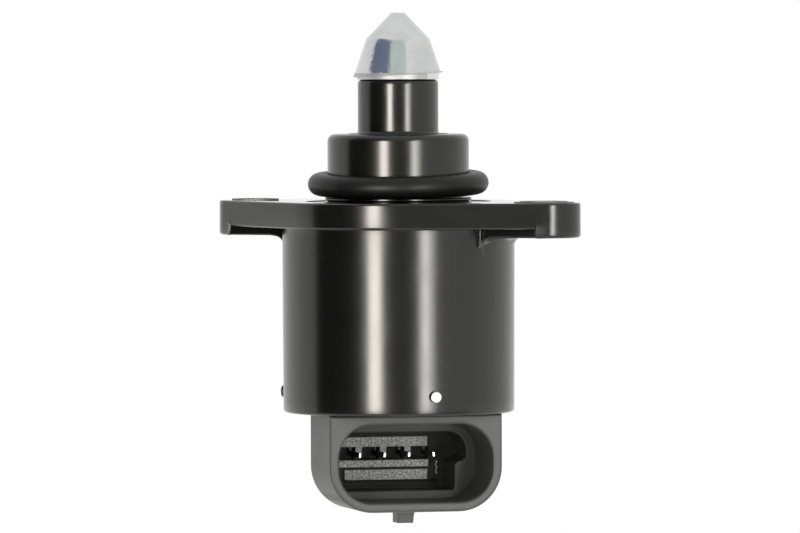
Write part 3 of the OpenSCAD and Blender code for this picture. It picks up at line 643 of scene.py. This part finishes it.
def makeConnector():
    c, f = connector, floorBands
    shroud = tubOutline(c["halfWidth"], c["bottom"], c["top"], c["corner"])
    socket = roundOutline(c["socketHalf"], c["socketBottom"], c["socketTop"], c["socketCorner"])
    ledge = tubOutline(c["halfWidth"] - 0.4, c["bottom"] + 0.4, c["top"] - 0.3, c["corner"] - 0.4)
    boss = tubOutline(c["bossHalf"], c["bossBottom"], c["top"] - 0.02, c["bossCorner"])
    made = flatSolid("connectorCap", [shroud, socket], c["rim"], c["back"], bevel=c["rimEdge"], upright=True)
    combine(made, [
        flatSolid("ledge", [ledge, recessOutline()], c["ledge"], c["back"] - 0.05, c["ledgeEdge"], upright=True),
        flatSolid("boss", [boss, recessOutline(0.01)], 0.4, c["floor"] + 0.5, bevel=0.1, upright=True),
        flatSolid("bossWall", [boss], c["floor"], c["bossBack"], bevel=c["bossEdge"], upright=True),
        turnedSolid("plug", plugProfile(), steps=96),
        flatSolid("nub", [nubOutline()], c["nubFront"], c["nubBack"], bevel=c["nubEdge"], upright=True),
    ], "UNION")
    cuts = [boxPoints(pin + f["slotFrom"], pin + f["slotTo"], f["slotLow"], f["slotHigh"])
            for pin in terminals["places"]]
    cuts.append(boxPoints(f["grooveFrom"], f["grooveTo"], f["grooveLow"], f["grooveHigh"]))
    removed = [flatSolid("floorCut", [cut], c["floor"] - 0.5, c["floor"] + 1.0, bevel=f["cutEdge"], upright=True)
               for cut in cuts]
    removed += pinHoles("plugHole", capPins["near"] - capPins["clearance"])
    combine(made, removed, "DIFFERENCE")
    cleanMesh(made)
    finishPiece(made, "root", "cap_plastic", "connector_cap", flats=True)
    made.data.materials.append(materials["socket_plastic"])
    made.data.materials.append(materials["recess_painted_shade"])
    mouth, ledgeFront, recessEnd = c["rim"] + c["rimEdge"], c["ledge"] + 0.15, c["floor"] + 1.05
    # faces inside the recess take the darker copy of the plastic, which is painted shade
    for face in made.data.polygons:
        x, y, z = (v / mm for v in face.center)
        if mouth < y <= ledgeFront and within(x, z, c["socketHalf"], c["socketBottom"], c["socketTop"], 0.02):
            face.material_index = 1
        elif ledgeFront < y < recessEnd and within(x, z, c["recessHalf"], c["recessBottom"], c["recessTop"], 0.1):
            face.material_index = 2
        else:
            face.material_index = 0
    return made


def floorSolid(name, outline, proud, bevel=0.0):
    # a low relief that stands on the recess floor
    floor = connector["floor"]
    return flatSolid(name, [outline], floor - proud, floor + floorBands["sunk"], bevel=bevel, upright=True)


def makeSocketFloor():
    f = floorBands
    parts = [floorSolid("band", boxPoints(left, right, low, high), proud, f["edge"])
             for left, right, low, high, proud in f["bands"]]
    wave = [(f["waveAt"] + f["waveSwing"] * math.sin(f["waveTurn"] * i), f["waveTop"] - f["waveStep"] * i)
            for i in range(f["wavePoints"])]
    outline = [(x - f["waveLeft"], z) for x, z in wave] + [(x + f["waveRight"], z) for x, z in reversed(wave)]
    parts.append(floorSolid("wavyRidge", outline, f["waveProud"]))
    low, high = f["slotLow"] + f["toothLow"], f["slotHigh"] + f["toothHigh"]
    for pin in terminals["places"][:-1]:
        tooth = boxPoints(pin + f["toothFrom"], pin + f["toothTo"], low, high)
        parts.append(floorSolid("tooth", tooth, f["toothProud"], f["edge"]))
    made = parts[0]
    made.name = "socketFloor"
    combine(made, parts[1:], "UNION")
    cleanMesh(made)
    finishPiece(made, "root", "cap_plastic")
    # the grain is the surface's own, while its pale colour paints the light that falls on this part of the floor
    made.data.materials[0] = materials["frosted_painted_light"]


connectorCap = makeConnector()
makeSocketFloor()
print("connector cap moulded:", len(connectorCap.data.polygons), "faces")


# Terminals: square wire with a flat, tapered tip, bent up into the plug

def makeTerminal(index):
    t = terminals
    x, z, half, end = t["places"][index], t["height"], t["half"], t["tipHalf"][1]
    tip, shoulder, bend, turn = t["tip"], t["tip"] + t["taper"], t["bend"], t["bendRadius"]
    side = [(tip, z - end), (shoulder, z - half)]
    side += arcPoints(bend + half - turn, z - half + turn, turn, 270, 360, 5)
    side += [(bend + half, t["tailTop"]), (bend - half, t["tailTop"]), (bend - half, z + half)]
    side += [(shoulder, z + half), (tip, z + end)]
    made = flatSolid("terminalPin" + str(index + 1), [side], -half, half, t["edge"], upright=True, segments=2)
    made.rotation_euler = (0, 0, math.pi / 2)
    made.location = (x * mm, 0, 0)
    applyPlace(made)
    for vertex in made.data.vertices:
        vertex.select = vertex.co.y < (tip + t["narrow"]) * mm
    bpy.ops.object.mode_set(mode="EDIT")
    bpy.ops.mesh.select_mode(type="VERT")
    bpy.ops.transform.resize(value=(t["tipHalf"][0] / half, 1, 1), center_override=(x * mm, tip * mm, z * mm))
    bpy.ops.object.mode_set(mode="OBJECT")
    finishPiece(made, "root", "terminal_metal", "terminal_" + str(index + 1))
    made.data.materials.append(materials["tinned_wire"])
    for face in made.data.polygons:  # only the tip is bright; the rest of the pin is darkened, painted shade inside the socket
        face.material_index = 1 if face.center.y > (tip + t["bright"]) * mm else 0


for terminalIndex in range(len(terminals["places"])):
    makeTerminal(terminalIndex)
print("terminals bent")


# Seal ring: a round rubber ring with a fine flash line, sitting crooked in its groove

sealRing = {
    "radius": 9.69, "section": 1.35, "tilt": 2.3, "lowSide": 243, "height": 2.2, "gap": 0.02, "flash": 0.02,
    "coreLow": -1, "coreHigh": 6,
}


def makeSealRing():
    r, h = sealRing, housing
    outside = r["radius"] + r["section"]
    bpy.ops.object.select_all(action="DESELECT")
    bpy.ops.mesh.primitive_torus_add(major_radius=r["radius"] * mm, minor_radius=r["section"] * mm,
                                     major_segments=160, minor_segments=48)
    made = bpy.context.active_object
    made.name = "sealRing"
    for vertex in made.data.vertices:  # the outermost row, for the flash line
        outward = math.hypot(vertex.co.x, vertex.co.y)
        vertex.select = abs(vertex.co.z) < r["flash"] * mm and outward > r["radius"] * mm
    bpy.ops.object.mode_set(mode="EDIT")
    bpy.ops.mesh.select_mode(type="VERT")
    grow = (outside + r["flash"]) / outside
    bpy.ops.transform.resize(value=(grow, grow, 1), center_override=(0, 0, 0))
    bpy.ops.object.mode_set(mode="OBJECT")
    turn = Matrix.Rotation(math.radians(r["lowSide"]), 4, "Z")
    lean = Matrix.Rotation(math.radians(r["tilt"]), 4, "Y")
    made.matrix_world = Matrix.Translation((0, 0, r["height"] * mm)) @ turn @ lean
    applyPlace(made)
    # what the step, the groove and the collar take up, and a little more, is cut from the ring
    gap = r["gap"]
    step, groove, collar = h["stepRadius"] + gap, h["grooveRadius"] + gap, h["collarRadius"] + gap
    low, high = h["stepTop"] + gap, h["grooveTop"] - gap
    core = [(0, r["coreLow"]), (step, r["coreLow"]), (step, low), (groove, low)]
    core += [(groove, high), (collar, high), (collar, r["coreHigh"]), (0, r["coreHigh"])]
    combine(made, [turnedSolid("core", core, steps=128)], "DIFFERENCE")
    cleanMesh(made)
    finishPiece(made, "root", "seal_rubber", "seal_ring", angle=40)


makeSealRing()


# Pintle: double cone with a bore, and a thin lip that sits slightly crooked

pintle = {
    "base": 14.9, "baseRadius": 4.98, "baseFlare": 0.1, "baseEdge": 0.06,
    "lipRadius": 5.5, "lipHeight": 15.6, "lipEdge": 0.12, "lipWidth": 0.22, "lipTilt": 3.2, "lipStep": 0.1,
    "leanBelow": 0.3, "leanAbove": 0.05, "rimWidth": 0.15, "conePoints": (0.4, 1.2, 2.4, 3.6),
    "breakRadius": 3.88, "breakHeight": 19.9, "tipRadius": 0.84, "tipHeight": 23.05, "tipEdge": 0.05,
    "bore": 2.03, "boreTop": 18.5,
}


def pintleProfile():
    q = pintle
    lip, high, base, tipEdge = q["lipRadius"], q["lipHeight"], q["baseRadius"], q["tipEdge"]
    points = [(0, q["boreTop"]), (q["bore"], q["boreTop"]), (q["bore"], q["base"])]
    points += [(base - q["baseEdge"], q["base"]), (base, q["base"] + q["baseEdge"])]
    points += [(base + q["baseFlare"], high - q["lipEdge"] - 0.04)]
    points += [(lip - 0.03, high - q["lipEdge"]), (lip, high - q["lipEdge"] / 2), (lip - 0.02, high)]
    foot, low = lip - q["lipWidth"], high + q["lipStep"]
    points += [(foot, low)]
    slope = (foot - q["breakRadius"]) / (q["breakHeight"] - low)
    points += [(foot - slope * step, low + step) for step in q["conePoints"]]
    points += [(q["breakRadius"] + 0.01, q["breakHeight"] - 0.03), (q["breakRadius"] - 0.03, q["breakHeight"] + 0.02)]
    points += [(q["tipRadius"] + tipEdge, q["tipHeight"] - tipEdge), (q["tipRadius"] - tipEdge, q["tipHeight"])]
    return points + [(0, q["tipHeight"])]


def makePintle():
    q = pintle
    made = turnedSolid("valvePintle", pintleProfile(), steps=160)
    # the lip and the top of the base wall lean to one side
    tilt = Matrix.Rotation(math.radians(q["lipTilt"]), 4, towards(cameraSetup["azimuth"], 0))
    centre = Vector((0, 0, q["lipHeight"] * mm))
    low, high = (q["lipHeight"] - q["leanBelow"]) * mm, (q["lipHeight"] + q["leanAbove"]) * mm
    for vertex in made.data.vertices:
        reach = math.hypot(vertex.co.x, vertex.co.y) / mm
        if low < vertex.co.z < high and reach > q["baseRadius"]:
            vertex.co = centre + tilt @ (vertex.co - centre)
    cleanMesh(made)
    finishPiece(made, "pintle_screw", "pintle_metal", "pintle", angle=25)
    made.data.materials.append(materials["turned_metal"])
    for face in made.data.polygons:  # duller below the lip and on its rim
        reach = math.hypot(face.center.x, face.center.y)
        if face.center.z < low or reach > (q["lipRadius"] - q["rimWidth"]) * mm:
            face.material_index = 1


makePintle()
print("seal ring and pintle made")


# Return spring: five working turns between two closed ones, from the guide bush to the pintle

spring = {
    "low": 8.34, "high": 14.88, "coil": 3.1, "wire": 0.27, "turns": 5, "deadRise": 0.58, "sides": 12, "steps": 40,
}


def coilPart(low, rise, turns):
    # some turns of wire that climb from one height
    s = spring
    bpy.ops.object.select_all(action="DESELECT")
    bpy.ops.mesh.primitive_circle_add(vertices=s["sides"], radius=s["wire"] * mm, fill_type="NGON",
                                      location=(s["coil"] * mm, 0, low * mm), rotation=(math.pi / 2, 0, 0))
    made = bpy.context.active_object
    applyPlace(made)
    bpy.ops.object.mode_set(mode="EDIT")
    bpy.ops.mesh.select_all(action="SELECT")
    bpy.ops.mesh.delete(type="ONLY_FACE")
    bpy.ops.object.mode_set(mode="OBJECT")
    screw = made.modifiers.new("coil", "SCREW")
    screw.axis = "Z"
    screw.angle = 2 * math.pi
    screw.iterations = turns
    screw.screw_offset = rise / turns * mm
    screw.steps = screw.render_steps = s["steps"]
    screw.use_merge_vertices = True
    bpy.ops.object.modifier_apply(modifier=screw.name)
    return made


def makeSpring():
    s = spring
    dead = s["deadRise"]
    first, last = s["low"] + s["wire"], s["high"] - s["wire"] - s["deadRise"]
    parts = [coilPart(first, dead, 1), coilPart(first + dead, last - first - dead, s["turns"])]
    parts.append(coilPart(last, dead, 1))
    made = joinParts(parts)
    made.name = "returnSpring"
    bpy.ops.object.mode_set(mode="EDIT")
    bpy.ops.mesh.select_all(action="SELECT")
    bpy.ops.mesh.remove_doubles(threshold=5e-6)
    bpy.ops.mesh.select_all(action="DESELECT")
    bpy.ops.mesh.select_non_manifold(extend=False)
    bpy.ops.mesh.edge_face_add()  # the wire's two ends
    bpy.ops.mesh.select_all(action="SELECT")
    bpy.ops.mesh.normals_make_consistent(inside=False)
    bpy.ops.object.mode_set(mode="OBJECT")
    bpy.ops.object.shade_smooth_by_angle(angle=math.radians(50))
    made.data.materials.append(materials["spring_steel"])
    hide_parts("return_spring")
    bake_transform(made)


makeSpring()
print("spring wound")


# Studio: a white world, cards and bright strips that show in the gloss, two soft lamps and a pale floor.
# Angles are counted from the camera's azimuth, in degrees; lengths are in metres.

studio = {
    "worldColor": 1.0,
    "worldLight": 0.84,
    "darkCard": {"from": -89, "to": -37, "radius": 0.62, "low": -0.5, "high": 0.5, "color": 0.012},
    "greyCard": {"from": -36, "to": 39, "radius": 1.15, "low": -0.6, "high": 0.6, "color": (0.252, 0.258, 0.222)},
    "lowCard": {"from": -75, "to": 75, "radius": 0.6, "bottom": -50, "top": -13, "color": 0.22},
    "blueCard": {"from": -91, "to": -26, "radius": 0.7, "bottom": 21, "top": 50, "color": (0.2, 0.235, 0.36)},
    "greenCard": {"from": -24, "to": 28, "radius": 0.7, "bottom": 21, "top": 50, "color": (0.72, 0.8, 0.78)},
    "leftStrip": {"from": -29.2, "to": -16.8, "radius": 0.8, "low": -0.35, "high": 0.2, "color": (20.0, 19.4, 18.2)},
    "rightStrip": {"from": 21.0, "to": 29.5, "radius": 0.8, "low": -0.35, "high": 0.2, "color": 14.5},
    "cardSteps": 24,
    "leftLamp": {"angle": -25.0, "radius": 0.79, "width": 0.17, "height": 0.7, "lift": 0.05, "power": 1.6},
    "rightLamp": {"angle": 31.0, "radius": 0.79, "width": 0.14, "height": 0.7, "lift": 0.05, "power": 2.2},
    "floorDrop": 0.25,
    "floorSize": 6.0,
    "floorColor": 0.9,
    "floorRoughness": 0.9,
    "floorGlow": 0.45,
}


def backgroundRays(tree):
    # 1 for the camera, gloss and glass, which all see the bright background
    paths = addNode(tree, "ShaderNodeLightPath", (-700, 0))
    first = addNode(tree, "ShaderNodeMath", (-500, 0), operation="MAXIMUM")
    second = addNode(tree, "ShaderNodeMath", (-350, 0), operation="MAXIMUM")
    tree.links.new(paths.outputs["Is Camera Ray"], first.inputs[0])
    tree.links.new(paths.outputs["Is Glossy Ray"], first.inputs[1])
    tree.links.new(first.outputs[0], second.inputs[0])
    tree.links.new(paths.outputs["Is Transmission Ray"], second.inputs[1])
    return second.outputs[0]


def makeWorld():
    world = bpy.data.worlds.new("studioWorld")
    bpy.context.scene.world = world
    world.use_nodes = True
    tree = world.node_tree
    background = tree.nodes["Background"]
    background.inputs["Color"].default_value = (studio["worldColor"],) * 3 + (1,)
    level = addNode(tree, "ShaderNodeMix", (-180, 0), data_type="FLOAT")
    level.inputs[2].default_value = studio["worldLight"]
    level.inputs[3].default_value = 1.0
    tree.links.new(backgroundRays(tree), level.inputs[0])
    tree.links.new(level.outputs[0], background.inputs["Strength"])


def plainEmitter(name, level):
    # a grey level or a colour that glows evenly
    color = level if isinstance(level, tuple) else (level, level, level)
    material, tree, shader = newMaterial(name)
    tree.nodes.remove(shader)
    glow = addNode(tree, "ShaderNodeEmission", (0, 0))
    glow.inputs["Color"].default_value = (*color, 1)
    output = next(n for n in tree.nodes if n.type == "OUTPUT_MATERIAL")
    tree.links.new(glow.outputs[0], output.inputs["Surface"])
    return material


def addCard(name, card, glossOnly=False):
    # a card round the object that the camera doesn't see: upright between two heights, or curved between
    # two elevations; glossOnly keeps its light off dull surfaces
    steps = studio["cardSteps"]
    points, faces = [], []
    for i in range(steps + 1):
        angle = cameraSetup["azimuth"] + card["from"] + (card["to"] - card["from"]) * i / steps
        if "bottom" in card:
            points += [towards(angle, card[edge]) * card["radius"] for edge in ("bottom", "top")]
        else:
            spot = towards(angle, 0) * card["radius"]
            points += [(spot.x, spot.y, card["low"]), (spot.x, spot.y, card["high"])]
        if i:
            faces.append((2 * i - 2, 2 * i, 2 * i + 1, 2 * i - 1))
    mesh = bpy.data.meshes.new(name)
    mesh.from_pydata(points, [], faces)
    made = bpy.data.objects.new(name, mesh)
    bpy.context.collection.objects.link(made)
    made.data.materials.append(plainEmitter(name, card["color"]))
    made.visible_camera = False
    made.visible_shadow = False
    made.visible_diffuse = not glossOnly


def addLamp(name, lamp):
    data = bpy.data.lights.new(name, "AREA")
    data.shape = "RECTANGLE"
    data.size = lamp["width"]
    data.size_y = lamp["height"]
    data.energy = lamp["power"]
    made = bpy.data.objects.new(name, data)
    bpy.context.collection.objects.link(made)
    aim = towards(cameraSetup["azimuth"] + lamp["angle"], 0)
    made.location = aim * lamp["radius"] + Vector((0, 0, lamp["lift"]))
    made.rotation_mode = "QUATERNION"
    made.rotation_quaternion = (-aim).to_track_quat("-Z", "Y")


def addFloor():
    bpy.ops.mesh.primitive_plane_add(size=studio["floorSize"], location=(0, 0, -studio["floorDrop"]))
    floor = bpy.context.active_object
    floor.name = "studioFloor"
    material, tree, shader = newMaterial("paleFloor")
    shader.inputs["Base Color"].default_value = (studio["floorColor"],) * 3 + (1,)
    shader.inputs["Roughness"].default_value = studio["floorRoughness"]
    shader.inputs["Emission Color"].default_value = (1, 1, 1, 1)
    lift = addNode(tree, "ShaderNodeMath", (-180, 0), operation="MULTIPLY")
    lift.inputs[1].default_value = studio["floorGlow"]
    tree.links.new(backgroundRays(tree), lift.inputs[0])
    tree.links.new(lift.outputs[0], shader.inputs["Emission Strength"])
    # seen from below, the floor lets the object through
    side = addNode(tree, "ShaderNodeNewGeometry", (0, 400))
    clear = addNode(tree, "ShaderNodeBsdfTransparent", (200, -300))
    both = addNode(tree, "ShaderNodeMixShader", (500, 100))
    output = next(n for n in tree.nodes if n.type == "OUTPUT_MATERIAL")
    tree.links.new(side.outputs["Backfacing"], both.inputs[0])
    tree.links.new(shader.outputs[0], both.inputs[1])
    tree.links.new(clear.outputs[0], both.inputs[2])
    tree.links.new(both.outputs[0], output.inputs["Surface"])
    floor.data.materials.append(material)


makeWorld()
for cardName in ("darkCard", "greyCard"):
    addCard(cardName, studio[cardName])
for cardName in ("lowCard", "blueCard", "greenCard", "leftStrip", "rightStrip"):
    addCard(cardName, studio[cardName], glossOnly=True)
for lampName in ("leftLamp", "rightLamp"):
    addLamp(lampName, studio[lampName])
addFloor()
bpy.context.scene.view_settings.view_transform = "Standard"
print("studio lit")
